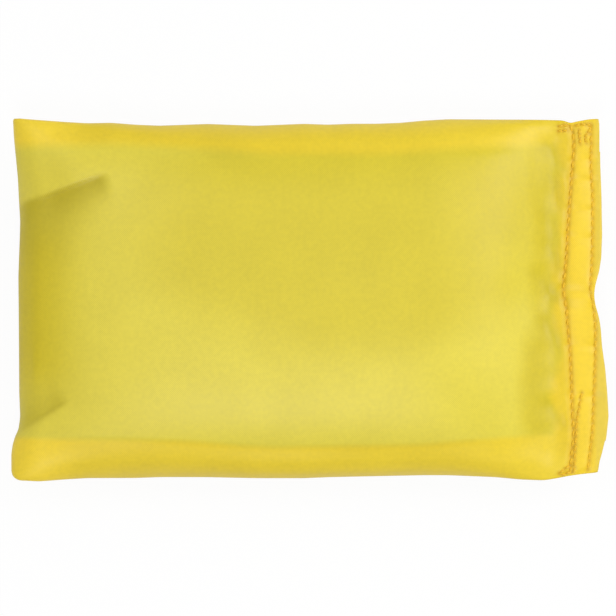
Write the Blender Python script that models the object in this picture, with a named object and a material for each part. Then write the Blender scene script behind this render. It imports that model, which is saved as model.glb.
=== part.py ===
"""A toss bean bag: a small nylon bag, filled with plastic pellets and lying flat.

The cover is one strip of nylon, folded in half at the left end (-X). Its two long sides are sewn inside
out, so their seam allowances lie inside. The open end (+X) is turned in and closed by two rows of
topstitching. Every line of stitches is a lockstitch: a needle thread that dips through the layers and
loops round a bobbin thread, which runs straight along the underside.

X runs along the bag, Y across it and Z up. The origin is on the ground, under the middle of the bag.
"""

import math

import bmesh
import bpy
from mathutils import Matrix, Vector

# The filled bag, in metres
bag_length = 0.1275
bag_width = 0.0776
filled_height = 0.021
seam_height = 0.009
rest_length = 0.072
rest_width = 0.042
side_pull = 0.0011
end_pull = 0.0016

# The cloth, its seam allowances and its turned-in hem
cloth_thickness = 0.0003
layer_gap = 0.0002
piece_gap = 0.0003
seam_allowance = 0.0063
clip_gap = 0.0004
turn_in_margin = 0.0022
hem_flat_margin = 0.001
hem_blend_length = 0.0063

# The thread and its rows of stitches
thread_diameter = 0.0003
thread_gap = 0.00006
leg_spread = 0.0003
thread_tail = 0.0008
stitch_pitch = 0.002
side_stitch_pitch = 0.0032
outer_row_inset = 0.0021
row_spacing = 0.0048
row_end_inset = 0.0016
short_run_length = 0.018
short_run_offset = 0.0019
side_seam_end_inset = 0.0025

# Shares that shape the swell of the filled bag, and the powers of its curves
crown_power_share = 3.2
crown_round_share = 0.64
top_slope_power_share = 5
top_slope_round_share = 2
under_slope_power_share = 2
under_slope_round_share = 1.5
pull_power_share = 4
slope_share = 1.25
lean_share = 0.8

# Where the panel's stations lie, as shares of the stretch that each table covers
fold_end_shares = (0, 0.08, 0.26, 0.58)
rest_shares = (0, 0.3, 0.6, 0.82)
hem_end_shares = (0, 0.3, 0.58, 0.82, 1)
rest_line_share = 1 / 3
shoulder_line_share = 0.5
rim_line_share = 0.65

# Counts of flat facets and of stitches, and the angle between facets that shows as a crease
fold_segments = 3
end_fold_segments = 4
bobbin_step = 4
crease_angle = math.radians(40)

# Heights over the seam plane, to the middle of the cloth
layer_step = cloth_thickness + layer_gap
inner_layer = layer_step / 2
hem_layer = inner_layer + layer_step

# The needle thread's loop round the bobbin thread, and the hole that holds its two legs
loop_reach = thread_diameter + thread_gap
leg_reach = leg_spread / 2
hole_width = 2 * (loop_reach + thread_diameter / 2 + thread_gap)
hole_length = 2 * (leg_reach + thread_diameter / 2 + thread_gap)
hole_reach = math.hypot(hole_width, hole_length) / 2
hole_lean = math.radians(20)

# Heights of the threads over the seam plane, and the rolled side edge that the side seam's threads need
thread_seat = cloth_thickness / 2 + thread_gap + thread_diameter / 2
side_thread_level = inner_layer + thread_seat
side_loop_level = side_thread_level + loop_reach
edge_layer = side_loop_level + thread_diameter / 2 + piece_gap + cloth_thickness / 2
side_radius = (edge_layer - inner_layer) / 2
hem_thread_level = hem_layer + thread_seat
hem_loop_level = hem_thread_level + loop_reach

# Places along the bag, from the folded end to the hem's fold
fold_x = -bag_length / 2 + edge_layer + cloth_thickness / 2
hem_fold_x = bag_length / 2 - layer_step / 2 - cloth_thickness / 2
outer_row_x = bag_length / 2 - outer_row_inset
inner_row_x = outer_row_x - row_spacing
flap_end_x = inner_row_x - turn_in_margin
hem_start_x = flap_end_x - hem_flat_margin
rest_x = rest_length / 2

# Places across the bag, at its full width
edge_y = bag_width / 2 - side_radius - cloth_thickness / 2
allowance_y = bag_width / 2 - seam_allowance
flap_y = allowance_y - clip_gap
rest_y = rest_width / 2
row_end_y = bag_width / 2 - row_end_inset
seam_inset = side_radius + cloth_thickness / 2 + hole_reach + thread_gap

# The most that the panels rise and drop from their edges
top_rise = filled_height - cloth_thickness / 2 - seam_height - edge_layer
bottom_drop = seam_height - cloth_thickness / 2 - edge_layer


def clear_scene():
    for thing in list(bpy.data.objects):
        bpy.data.objects.remove(thing, do_unlink=True)


def material(name, colour, roughness):
    made = bpy.data.materials.new(name)
    made.use_nodes = True
    shader = made.node_tree.nodes["Principled BSDF"]
    shader.inputs["Base Color"].default_value = (*colour, 1)
    shader.inputs["Roughness"].default_value = roughness
    shader.inputs["Metallic"].default_value = 0
    return made


def add_object(name, data, finish):
    data.materials.append(finish)
    thing = bpy.data.objects.new(name, data)
    bpy.context.collection.objects.link(thing)
    return thing


def mesh_of(name, shape):
    """A smooth-shaded mesh of the bmesh, which is freed."""
    mesh = bpy.data.meshes.new(name)
    shape.to_mesh(mesh)
    shape.free()
    mesh.shade_smooth()
    mesh.set_sharp_from_angle(angle=crease_angle)
    return mesh


def between(low, high, share):
    return low + (high - low) * share


def drawn_in(x, y):
    """A place at the bag's full size, moved in by what the filling takes up.

    The corners keep their places, so they are left as ears.
    """
    along = min(1, abs(2 * x / bag_length))
    across = min(1, abs(2 * y / bag_width))
    towards_fold = max(0, min(1, (rest_x - x) / (rest_x - fold_x)))
    side_share = 1 - 2 * side_pull * (1 - along**pull_power_share) / bag_width
    return x + end_pull * (1 - across**pull_power_share) * towards_fold, y * side_share


def rounded(share, power=crown_power_share, roundness=crown_round_share):
    """The swell of a panel: 1 in the middle, at share 0, and 0 at the edge, at share 1.

    As it stands it is a round shoulder. A roundness over 1 makes it an easy slope, which comes in level.
    """
    return (1 - min(1, abs(share)) ** power) ** roundness


def edge_height(x):
    """The panel's edge lies high enough for the side seam's threads, and comes down flat at the hem."""
    flattened = max(0, min(1, (hem_start_x - x) / hem_blend_length))
    return between(hem_layer, edge_layer, flattened)


def top_height(x, y):
    """The rise over the seam plane: a round shoulder at the folded end and an easy slope to the hem."""
    middle_x = (fold_x + hem_start_x) / 2
    share = (x - middle_x) / (hem_start_x - middle_x)
    along = rounded(share) if share < 0 else rounded(share, top_slope_power_share, top_slope_round_share)
    return edge_height(x) + top_rise * along * rounded(y / edge_y)


def bottom_height(x, y):
    """The depth below the seam plane, which is the same all over the patch that the bag rests on."""
    if x < 0:
        along = rounded(max(0, (x + rest_x) / (fold_x + rest_x)))
    else:
        share = max(0, (x - rest_x) / (hem_start_x - rest_x))
        along = rounded(share, under_slope_power_share, under_slope_round_share)
    across = rounded(max(0, (abs(y) - rest_y) / (edge_y - rest_y)))
    return edge_height(x) + bottom_drop * along * across


def panel_stations():
    """Places along a panel, from the folded end to the start of the flat hem."""
    fold_end = [between(fold_x, -rest_x, share) for share in fold_end_shares]
    rest = [between(-rest_x, rest_x, share) for share in rest_shares]
    hem_end = [between(rest_x, hem_start_x, share) for share in hem_end_shares]
    return fold_end + rest + hem_end


def cross_stations():
    """Places across a panel, inside the folds of its two sides."""
    half = [
        rest_y * rest_line_share,
        rest_y,
        between(rest_y, flap_y, shoulder_line_share),
        flap_y,
        between(flap_y, edge_y, rim_line_share),
    ]
    return [-y for y in reversed(half)] + half


def length_path():
    """Stations along the strip, from the top turn-in's raw edge, round the folded end, to the bottom one's.

    Each has its kind, its x, its turn about the folded end (0 on top, pi below) and its turn about the
    hem's fold.
    """
    hem_turns = [math.pi * (1 - step / fold_segments) for step in range(fold_segments + 1)]
    top = [("turned_in", flap_end_x, 0, math.pi)]
    top += [("turned_in" if turn else "hem", hem_fold_x, 0, turn) for turn in hem_turns]
    top += [("panel", x, 0, 0) for x in reversed(panel_stations())]
    end_turns = [math.pi * step / end_fold_segments for step in range(1, end_fold_segments)]
    fold = [("panel", fold_x, turn, 0) for turn in end_turns]
    bottom = [(kind, x, math.pi, hem_turn) for kind, x, _, hem_turn in reversed(top)]
    return top + fold + bottom


def width_path():
    """Stations across the strip, from one allowance's raw edge to the other's.

    Each has its kind, its y and its turn about the side.
    """
    turns = [math.pi * (1 - step / fold_segments) for step in range(fold_segments + 1)]
    side = [("allowance", -allowance_y, math.pi)] + [("fold", -edge_y, turn) for turn in turns]
    panel = [("panel", y, 0) for y in cross_stations()]
    return side + panel + [(kind, -y, turn) for kind, y, turn in reversed(side)]


def strip_point(station, crossing):
    """Where a point of the middle of the cloth lies once the strip is folded, sewn and filled."""
    kind, x, turn, hem_turn = station
    zone, y, side_turn = crossing
    radius = (edge_height(x) - inner_layer) / 2
    if zone == "allowance":
        height = inner_layer
    elif zone == "fold":
        height = inner_layer + radius * (1 + math.cos(side_turn))
        reach = bag_width / 2 - cloth_thickness / 2 - radius * (1 - math.sin(side_turn))
        y = math.copysign(reach, y)
    elif kind == "panel":
        height = top_height(x, y) if turn < math.pi / 2 else bottom_height(x, y)
    else:
        height = inner_layer + layer_step / 2 * (1 + math.cos(hem_turn))
        x += layer_step / 2 * math.sin(hem_turn)
    x, y = drawn_in(x, y)
    return Vector((x - height * math.sin(turn), y, seam_height + height * math.cos(turn)))


def stations_at(corner, rows, columns):
    """The two stations whose lines cross at a corner of a unit grid."""
    row = round((corner.co.x + 0.5) * (len(rows) - 1))
    column = round((corner.co.y + 0.5) * (len(columns) - 1))
    return rows[row], columns[column]


def cover_mesh():
    """The strip as a flat grid with its four corners clipped, then folded into the bag."""
    rows = length_path()
    columns = width_path()
    shape = bmesh.new()
    bmesh.ops.create_grid(shape, x_segments=len(rows) - 1, y_segments=len(columns) - 1, size=0.5)
    places = {corner: stations_at(corner, rows, columns) for corner in shape.verts}
    clipped = []
    for face in shape.faces:
        turned_in = any(places[corner][0][0] == "turned_in" for corner in face.verts)
        beside_flap = any(abs(places[corner][1][1]) > flap_y for corner in face.verts)
        if turned_in and beside_flap:
            clipped.append(face)
    for corner, (station, crossing) in places.items():
        corner.co = strip_point(station, crossing)
    bmesh.ops.delete(shape, geom=clipped, context="FACES")
    bmesh.ops.recalc_face_normals(shape, faces=shape.faces)
    return mesh_of("cover_cloth", shape)


def fill_mesh():
    """The pellets as one body that follows both panels, clear of the cloth all round."""
    rows = panel_stations()[1:-1]
    columns = cross_stations()
    shape = bmesh.new()
    bmesh.ops.create_grid(shape, x_segments=len(rows) - 1, y_segments=len(columns) - 1, size=0.5)
    under = bmesh.ops.extrude_face_region(shape, geom=shape.faces[:])["geom"]
    under = {item for item in under if isinstance(item, bmesh.types.BMVert)}
    for corner in shape.verts:
        x, y = stations_at(corner, rows, columns)
        height = -bottom_height(x, y) if corner in under else top_height(x, y)
        corner.co = (*drawn_in(x, y), seam_height + height)
    bmesh.ops.recalc_face_normals(shape, faces=shape.faces)
    shape.normal_update()
    clearance = (cloth_thickness / 2 + piece_gap) * slope_share
    moved = {corner: corner.co - corner.normal * clearance for corner in shape.verts}
    for corner, place in moved.items():
        corner.co = place
    return mesh_of("pellet_fill", shape)


def allowance_slots():
    """The room that the two seam allowances take out of the sides of the filling."""
    shape = bmesh.new()
    inner = allowance_y - side_pull - piece_gap
    depth = bag_width / 2 - inner
    height = 2 * (inner_layer + cloth_thickness / 2 + piece_gap)
    for side in (-1, 1):
        place = Matrix.Translation((0, side * (inner + depth / 2), seam_height))
        size = Matrix.Diagonal((bag_length, depth, height, 1))
        bmesh.ops.create_cube(shape, size=1, matrix=place @ size)
    return shape


def straight_row(start, end):
    """Needle holes evenly along a straight line, each with the direction of sewing."""
    count = round((end - start).length / stitch_pitch)
    direction = (end - start).normalized()
    return [(start.lerp(end, step / count), direction) for step in range(count + 1)]


def hem_row(x):
    return straight_row(Vector((x, row_end_y, seam_height)), Vector((x, -row_end_y, seam_height)))


def short_run():
    """The stitches beside the inner row, where the sewing of the hem was begun again."""
    x = inner_row_x + short_run_offset
    start = Vector((x, short_run_length - row_end_y, seam_height))
    return straight_row(start, Vector((x, -row_end_y, seam_height)))


def side_seam(side):
    """Needle holes along one side, at an even distance from its drawn-in edge."""
    start_x = fold_x + side_seam_end_inset
    end_x = hem_start_x - hem_blend_length
    count = round((end_x - start_x) / side_stitch_pitch)
    line = []
    for step in range(count + 2):
        x, y = drawn_in(between(start_x, end_x, step / count), side * bag_width / 2)
        line.append(Vector((x, y - side * seam_inset, seam_height)))
    return [(place, (after - place).normalized()) for place, after in zip(line, line[1:])]


def thread_object(name, points, finish):
    """A thread through the points, with closed ends."""
    curve = bpy.data.curves.new(name, "CURVE")
    curve.dimensions = "3D"
    curve.bevel_depth = thread_diameter / 2
    curve.bevel_resolution = 0
    curve.use_fill_caps = True
    curve.twist_mode = "MINIMUM"
    line = curve.splines.new("POLY")
    line.points.add(len(points) - 1)
    for knot, point in zip(line.points, points):
        knot.co = (*point, 1)
    return add_object(name, curve, finish)


def with_tails(points, holes):
    """The thread's points with a short tail before the first hole and after the last."""
    start = points[0] - holes[0][1] * thread_tail
    end = points[-1] + holes[-1][1] * thread_tail
    return [start] + points + [end]


def lockstitch(name, holes, level, loop_level, finish):
    """The two threads of a row.

    They lie at level over and under the seam plane, and the loops reach down to loop_level.
    """
    up = Vector((0, 0, level))
    down = Vector((0, 0, -loop_level))
    needle = []
    for place, direction in holes:
        across = direction.cross(Vector((0, 0, 1)))
        leg = (direction - across * lean_share) * leg_reach
        loop = across * loop_reach
        needle += [place - leg + up, place + loop + down, place - loop + down, place + leg + up]
    bobbin = [place - up for place, _ in holes[:-1:bobbin_step] + holes[-1:]]
    thread_object(name + "_needle_thread", with_tails(needle, holes), finish)
    thread_object(name + "_bobbin_thread", with_tails(bobbin, holes), finish)


def needle_holes(rows, half_depth):
    """Cutters for the holes of some rows, half_depth each way from the seam plane.

    Each leans with the two legs of the needle thread that it holds.
    """
    shape = bmesh.new()
    size = Matrix.Diagonal((hole_length, hole_width, 2 * half_depth, 1))
    for place, direction in sum(rows, []):
        turn = Matrix.Rotation(math.atan2(direction.y, direction.x) - hole_lean, 4, "Z")
        bmesh.ops.create_cube(shape, size=1, matrix=Matrix.Translation(place) @ turn @ size)
    return shape


def cut(thing, name, shape):
    """Cuts a shape out of an object, and keeps the cutter as a hidden guide."""
    mesh = bpy.data.meshes.new(name)
    shape.to_mesh(mesh)
    shape.free()
    cutter = bpy.data.objects.new(name, mesh)
    cutter.hide_render = True
    cutter.display_type = "WIRE"
    bpy.context.collection.objects.link(cutter)
    modifier = thing.modifiers.new(name, "BOOLEAN")
    modifier.operation = "DIFFERENCE"
    modifier.object = cutter


def make_cover(finish, hem_rows, side_rows):
    cover = add_object("cover_cloth", cover_mesh(), finish)
    thickness = cover.modifiers.new("thickness", "SOLIDIFY")
    thickness.thickness = cloth_thickness
    thickness.offset = 0
    thickness.use_even_offset = True
    cut(cover, "hem_needle_holes", needle_holes(hem_rows, hem_layer + cloth_thickness))
    cut(cover, "side_needle_holes", needle_holes(side_rows, inner_layer + cloth_thickness))
    facets = cover.modifiers.new("even_facets", "TRIANGULATE")
    facets.quad_method = "BEAUTY"
    facets.ngon_method = "BEAUTY"


def make_fill(finish):
    fill = add_object("pellet_fill", fill_mesh(), finish)
    cut(fill, "allowance_slots", allowance_slots())


def build():
    clear_scene()
    nylon = material("yellow_nylon", (0.78, 0.63, 0.07), 0.45)
    thread = material("orange_thread", (0.82, 0.4, 0.03), 0.6)
    pellets = material("plastic_pellets", (0.75, 0.74, 0.7), 0.5)

    hem_rows = {
        "hem_outer_row": hem_row(outer_row_x),
        "hem_inner_row": hem_row(inner_row_x),
        "hem_short_run": short_run(),
    }
    side_rows = {"far_side_seam": side_seam(1), "near_side_seam": side_seam(-1)}

    make_cover(nylon, list(hem_rows.values()), list(side_rows.values()))
    make_fill(pellets)
    for name, holes in hem_rows.items():
        lockstitch(name, holes, hem_thread_level, hem_loop_level, thread)
    for name, holes in side_rows.items():
        lockstitch(name, holes, side_thread_level, side_loop_level, thread)


build()
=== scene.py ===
# %% [markdown]
# # A toss bean bag, from one strip of nylon
#
# The real bag is a strip of thin nylon, folded in half at the left end. Its long sides are sewn inside
# out, plastic pellets are poured in, and the open end is turned in and closed with two rows of
# topstitching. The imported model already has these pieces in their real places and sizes. This lesson
# gives them their looks: the swell and the creases of the cloth, the weave and the sheen, the stitches
# one by one, and the pellets inside.

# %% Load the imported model
import math
import random

import bmesh
import bpy
import numpy as np
from mathutils import Matrix, Vector
from mathutils.bvhtree import BVHTree
from mathutils.kdtree import KDTree


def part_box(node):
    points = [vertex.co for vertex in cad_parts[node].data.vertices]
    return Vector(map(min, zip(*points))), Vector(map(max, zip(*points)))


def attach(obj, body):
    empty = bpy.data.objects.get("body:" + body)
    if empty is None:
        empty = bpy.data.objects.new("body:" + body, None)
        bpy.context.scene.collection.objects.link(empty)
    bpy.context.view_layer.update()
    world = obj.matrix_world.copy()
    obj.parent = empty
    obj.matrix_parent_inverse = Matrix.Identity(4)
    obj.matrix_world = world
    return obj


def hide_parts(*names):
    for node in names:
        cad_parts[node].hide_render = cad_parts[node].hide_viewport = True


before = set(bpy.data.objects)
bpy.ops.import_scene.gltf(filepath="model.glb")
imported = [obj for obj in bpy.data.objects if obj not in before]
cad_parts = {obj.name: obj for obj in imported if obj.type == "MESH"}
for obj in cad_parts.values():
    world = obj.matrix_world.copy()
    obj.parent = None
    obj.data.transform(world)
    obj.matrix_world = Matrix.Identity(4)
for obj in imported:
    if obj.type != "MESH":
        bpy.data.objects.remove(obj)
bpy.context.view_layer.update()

print("pieces in the packed model:", sorted(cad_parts))

# %% [markdown]
# ## The camera
#
# The photograph looks straight down on the bag. A long lens from well above gives the same flat view
# as a product photograph, with nearly the same scale on the ground and on top of the bag. The distance
# follows from the lens: the picture is 131.6 mm wide at the level of the bag's outline.

# %% Look straight down
mm = 0.001
picture_width = 131.6 * mm
outline_level = 9 * mm
lens = 200 * mm
sensor = 36 * mm
picture_middle = (-0.5 * mm, -1.7 * mm)


def add_object(name, data):
    """A new object for a mesh, a curve, a lamp or a camera."""
    made = bpy.data.objects.new(name, data)
    bpy.context.scene.collection.objects.link(made)
    return made


camera_data = bpy.data.cameras.new("camera_above")
camera_data.lens = lens / mm
camera_data.sensor_width = sensor / mm
camera = add_object("camera_above", camera_data)
camera.location = (*picture_middle, outline_level + picture_width * lens / sensor)
bpy.context.scene.camera = camera
print("the camera hangs", round(camera.location.z, 3), "m above the ground")


# %% [markdown]
# ## Writing materials as sums
#
# A woven cloth needs a lot of small sums on its coordinates. Drawn by hand in the node editor that is
# a big net, so here one small class wraps a node's output, and Python's own signs add the Math nodes.
# Every other kind of node comes from its one method, `node`.


# %% A socket that can be added and multiplied
class Field:
    """The output of a node, on which sums can be written."""

    def __init__(self, tree, socket=None):
        self.tree = tree
        self.socket = socket

    def node(self, kind, settings, values, output=0):
        """Adds a node: first its settings, then the value or the link of each socket."""
        made = self.tree.nodes.new(kind)
        for name, value in settings.items():
            setattr(made, name, value)
        for name, value in values.items():
            if isinstance(value, Field):
                self.tree.links.new(value.socket, made.inputs[name])
            else:
                made.inputs[name].default_value = value
        return Field(self.tree, made.outputs[output])

    def math(self, operation, first, second=0.0):
        return self.node("ShaderNodeMath", {"operation": operation}, {0: first, 1: second})

    def __add__(self, other):
        return self.math("ADD", self, other)

    def __sub__(self, other):
        return self.math("SUBTRACT", self, other)

    def __rsub__(self, other):
        return self.math("SUBTRACT", other, self)

    def __mul__(self, other):
        return self.math("MULTIPLY", self, other)

    __radd__ = __add__
    __rmul__ = __mul__

    def wave(self):
        return self.math("SINE", self)

    def size(self):
        return self.math("ABSOLUTE", self)

    def axis(self, index):
        """One number of a place: 0 is x, 1 is y and 2 is z."""
        return self.node("ShaderNodeSeparateXYZ", {}, {0: self}, output=index)

    def rise(self, start, end):
        """0 before start and 1 after end, with a soft slope between them."""
        settings = {"interpolation_type": "SMOOTHSTEP", "clamp": True}
        return self.node("ShaderNodeMapRange", settings, {0: self, 1: start, 2: end, 3: 0.0, 4: 1.0})

    def mix(self, first, second):
        """A blend of two colours, where this field is the share of the second."""
        settings = {"data_type": "RGBA", "clamp_factor": True}
        return self.node("ShaderNodeMix", settings, {0: self, 6: first, 7: second}, output=2)

    def shade(self, colour):
        """The colour made darker or lighter by this field."""
        settings = {"data_type": "RGBA", "blend_type": "MULTIPLY"}
        grey = self.node("ShaderNodeCombineColor", {}, {0: self, 1: self, 2: self})
        return self.node("ShaderNodeMix", settings, {0: 1.0, 6: colour, 7: grey}, output=2)


# %% Start a material and feed its shader
def new_material(name, **constants):
    """A material, its shader and a field to start sums from. Constants go on the shader."""
    made = bpy.data.materials.new(name)
    made.use_nodes = True
    shader = made.node_tree.nodes["Principled BSDF"]
    for socket, value in constants.items():
        shader.inputs[socket.replace("_", " ")].default_value = value
    return made, shader, Field(made.node_tree)


def feed(made, socket, field):
    """Links a field to a socket, by name."""
    field.tree.links.new(field.socket, made.inputs[socket])


def object_place(start):
    """Where a point lies on the bag, in metres."""
    return start.node("ShaderNodeTexCoord", {}, {}, output=3)


def noise(start, place, scale, detail=2.0):
    """A soft random field around 0.5, as many waves to the metre as its scale."""
    values = {"Vector": place, "Scale": scale, "Detail": detail}
    return start.node("ShaderNodeTexNoise", {}, values)


def bump(start, strength, distance, height):
    """Small relief, for a shader's Normal."""
    values = {"Strength": strength, "Distance": distance, "Height": height}
    return start.node("ShaderNodeBump", {}, values)


# %% [markdown]
# ## The floor and the light
#
# The photograph is a cut-out on white, lit so softly that the bag hardly throws a shadow. A white world
# does most of that. A soft key lamp at the right lights the slope before the hem and leaves the slope
# at the left end dark. A second lamp hangs in front of the bag, nearly overhead, and gives the satin
# sheen on its near half, and a weaker third one behind it lifts the far half. The floor is pale, and is
# whiter still where the camera looks at it, so the background is white without more light on the bag.

# %% Lay a pale floor
floor_size = 3.0
floor_white_share = 0.94
floor_grey = (0.9, 0.9, 0.9, 1)
clear_white = (1, 1, 1, 1)


def mesh_of(name, shape):
    """The mesh of a finished bmesh."""
    mesh = bpy.data.meshes.new(name)
    shape.to_mesh(mesh)
    shape.free()
    return mesh


floor_shape = bmesh.new()
bmesh.ops.create_grid(floor_shape, x_segments=1, y_segments=1, size=floor_size / 2)
floor = add_object("floor", mesh_of("floor", floor_shape))

floor_paint, floor_shader, start = new_material("white_table", Base_Color=floor_grey, Roughness=0.9)
white = start.node("ShaderNodeEmission", {}, {"Color": clear_white, "Strength": 1.0})
seen = start.node("ShaderNodeLightPath", {}, {}, output=0)
lit = Field(floor_paint.node_tree, floor_shader.outputs[0])
blend = start.node("ShaderNodeMixShader", {}, {0: seen * floor_white_share, 1: lit, 2: white})
feed(floor_paint.node_tree.nodes["Material Output"], "Surface", blend)
floor.data.materials.append(floor_paint)
print("the floor is", floor_size, "m wide")

# %% Light it softly
ambient_strength = 0.43
lamps = {
    "key_lamp": ((0.49, 0.21, 0.46), 0.42, 2.25),
    "sheen_lamp": ((-0.05, -0.36, 0.84), 0.35, 2.5),
    "back_lamp": ((-0.26, 0.32, 0.82), 0.3, 1.0),
}
for name, (place, width, power) in lamps.items():
    lamp = add_object(name, bpy.data.lights.new(name, "AREA"))
    lamp.data.size = width
    lamp.data.energy = power
    lamp.location = place
    lamp.rotation_euler = (-Vector(place)).to_track_quat("-Z", "Y").to_euler()

world = bpy.data.worlds.new("white_room")
world.use_nodes = True
start = Field(world.node_tree)
camera_ray = start.node("ShaderNodeLightPath", {}, {}, output=0)
strength = ambient_strength + camera_ray * (1 - ambient_strength)
backdrop = start.node("ShaderNodeBackground", {}, {"Color": clear_white, "Strength": strength})
feed(world.node_tree.nodes["World Output"], "Surface", backdrop)
bpy.context.scene.world = world
bpy.context.scene.view_settings.view_transform = "Standard"
print("the lamps give", sum(power for _, _, power in lamps.values()), "W")

# %% [markdown]
# ## The bag's own sizes
#
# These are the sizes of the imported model: how the strip of cloth is cut, folded and filled. Heights are
# taken from the seam plane, half way between the two panels, to the middle of the cloth.

# %% Sizes in metres
bag_length = 127.5 * mm
bag_width = 77.6 * mm
filled_height = 21 * mm
seam_height = 9 * mm
rest_length = 72 * mm
rest_width = 42 * mm
side_pull = 1.1 * mm
end_pull = 1.6 * mm
cloth_thickness = 0.3 * mm
inner_layer = 0.25 * mm
hem_layer = 0.75 * mm
edge_layer = 1.57 * mm
seam_allowance = 6.3 * mm
turn_in_margin = 2.2 * mm
hem_blend_length = 6.3 * mm
inner_row_inset = 6.9 * mm
hem_start_gap = 1 * mm
flap_gap = 0.4 * mm

side_radius = (edge_layer - inner_layer) / 2
fold_x = -bag_length / 2 + edge_layer + cloth_thickness / 2
hem_fold_x = bag_length / 2 - inner_layer - cloth_thickness / 2
inner_row_x = bag_length / 2 - inner_row_inset
flap_end_x = inner_row_x - turn_in_margin
hem_start_x = flap_end_x - hem_start_gap
edge_y = bag_width / 2 - side_radius - cloth_thickness / 2
allowance_y = bag_width / 2 - seam_allowance
flap_y = allowance_y - flap_gap
top_rise = filled_height - cloth_thickness / 2 - seam_height - edge_layer
bottom_drop = seam_height - cloth_thickness / 2 - edge_layer
print("filled bag:", round(bag_length / mm, 1), "x", round(bag_width / mm, 1), "mm")


# %% [markdown]
# ## The swell of the filling
#
# Loose pellets settle into a flat-topped cushion. A power curve gives its form: nearly level in the
# middle and a steep, round shoulder at the rim. Towards the hem the pellets run out, so there the same
# curve with other powers makes an easy slope that comes in level. The sides are drawn in where the
# filling takes up cloth, which leaves the corners standing out as ears. All these functions take whole
# arrays of points.


# %% The shape of the two panels
def rounded(share, power=3.2, roundness=0.64):
    """A round shoulder: 1 in the middle, at share 0, and 0 at the edge, at share 1."""
    return (1 - np.clip(np.abs(share), 0, 1) ** power) ** roundness


def rise(values, start, end):
    """0 before start and 1 after end, with a soft slope between them."""
    share = np.clip((values - start) / (end - start), 0, 1)
    return share * share * (3 - 2 * share)


def bell(values, middle, width):
    """1 at the middle, with a soft fall to 0 on both sides."""
    return np.exp(-(((values - middle) / width) ** 2))


def edge_height(x):
    """How far the edge of a panel lies from the seam plane."""
    return hem_layer + (edge_layer - hem_layer) * np.clip((hem_start_x - x) / hem_blend_length, 0, 1)


def top_height(x, y):
    middle_x = (fold_x + hem_start_x) / 2
    share = (x - middle_x) / (hem_start_x - middle_x)
    along = np.where(share < 0, rounded(share), rounded(share, power=5, roundness=2))
    return edge_height(x) + top_rise * along * rounded(y / edge_y)


def bottom_height(x, y):
    rest_x, rest_y = rest_length / 2, rest_width / 2
    to_fold = np.maximum(0, (x + rest_x) / (fold_x + rest_x))
    to_hem = np.maximum(0, (x - rest_x) / (hem_start_x - rest_x))
    along = np.where(x < 0, rounded(to_fold), rounded(to_hem, power=2, roundness=1.5))
    across = rounded(np.maximum(0, (np.abs(y) - rest_y) / (edge_y - rest_y)))
    return edge_height(x) + bottom_drop * along * across


def drawn_in(x, y):
    """A point of the flat panel, moved in as the filling takes up cloth."""
    along = np.clip(np.abs(2 * x / bag_length), 0, 1)
    across = np.clip(np.abs(2 * y / bag_width), 0, 1)
    towards_fold = np.clip((rest_length / 2 - x) / (rest_length / 2 - fold_x), 0, 1)
    side_share = 1 - 2 * side_pull * (1 - along**4) / bag_width
    return x + end_pull * (1 - across**4) * towards_fold, y * side_share


print("the swell rises", np.round(top_height(0, 0) / mm, 1), "mm above the seam plane")

# %% [markdown]
# ## Letting the cloth settle
#
# A formula alone gives a swell that is too even. On the real bag the cloth is pushed out by the filling
# and held by its seams, so it finds its own balance between them. A short cloth simulation does the
# same: a closed skin of the two panels, held at the hem and lightly at its rim, with some pressure
# inside and no gravity. It runs on a copy twenty times too large, because the solver's own tolerances
# are made for garments. Only the small moves that it finds are kept, and they are capped.

# %% Make the skin of the filled part
sim_scale = 20
sim_cell = 2 * mm
sim_frames = 20
settle_cap = 2.0 * mm

cells_x = round((hem_start_x - fold_x) / sim_cell)
cells_y = round(2 * edge_y / sim_cell)
rim_share = 0.4999


def skin_point(x, y, side, at_rim):
    """A point of the closed skin, level with the seam at its rim."""
    level = top_height(x, y) if side > 0 else bottom_height(x, y)
    return (*drawn_in(x, y), 0 if at_rim else side * (level - edge_height(x)))


skin = bmesh.new()
for side in (1, -1):
    grid = bmesh.ops.create_grid(skin, x_segments=cells_x, y_segments=cells_y, size=0.5)["verts"]
    for corner in grid:
        x = fold_x + (corner.co.x + 0.5) * (hem_start_x - fold_x)
        y = (2 * corner.co.y) * edge_y
        at_rim = max(abs(corner.co.x), abs(corner.co.y)) > rim_share
        corner.co = Vector(skin_point(x, y, side, at_rim)) * sim_scale
    if side < 0:
        faces = list({face for corner in grid for face in corner.link_faces})
        bmesh.ops.reverse_faces(skin, faces=faces)
bmesh.ops.remove_doubles(skin, verts=skin.verts, dist=1e-5)
skin_mesh = mesh_of("skin", skin)
skin_object = add_object("skin", skin_mesh)
print("the skin has", len(skin_mesh.vertices), "points")

# %% Push it out from inside
rim_hold = 0.35
body_hold = 0.12
rim_level = 3 * mm
table_level = -5 * mm
skin_places = np.array([corner.co for corner in skin_mesh.vertices])
held = skin_object.vertex_groups.new(name="held")
for index, place in enumerate(skin_places / sim_scale):
    at_hem = place[0] > hem_start_x - sim_cell
    near_rim = abs(place[2]) < rim_level
    on_table = place[2] < table_level
    share = 1.0 if at_hem or on_table else rim_hold if near_rim else body_hold
    held.add([index], share, "REPLACE")

cloth = skin_object.modifiers.new("cloth", "CLOTH")
cloth.settings.quality = 6
cloth.settings.mass = 0.3
cloth.settings.air_damping = 3
cloth.settings.tension_stiffness = 40
cloth.settings.compression_stiffness = 40
cloth.settings.shear_stiffness = 15
cloth.settings.bending_stiffness = 12
cloth.settings.shrink_min = -0.003
cloth.settings.use_pressure = True
cloth.settings.uniform_pressure_force = 0.02
cloth.settings.vertex_group_mass = "held"
cloth.settings.effector_weights.gravity = 0
cloth.collision_settings.use_collision = False
cloth.point_cache.frame_end = sim_frames
for step in range(1, sim_frames + 1):
    bpy.context.scene.frame_set(step)

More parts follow.
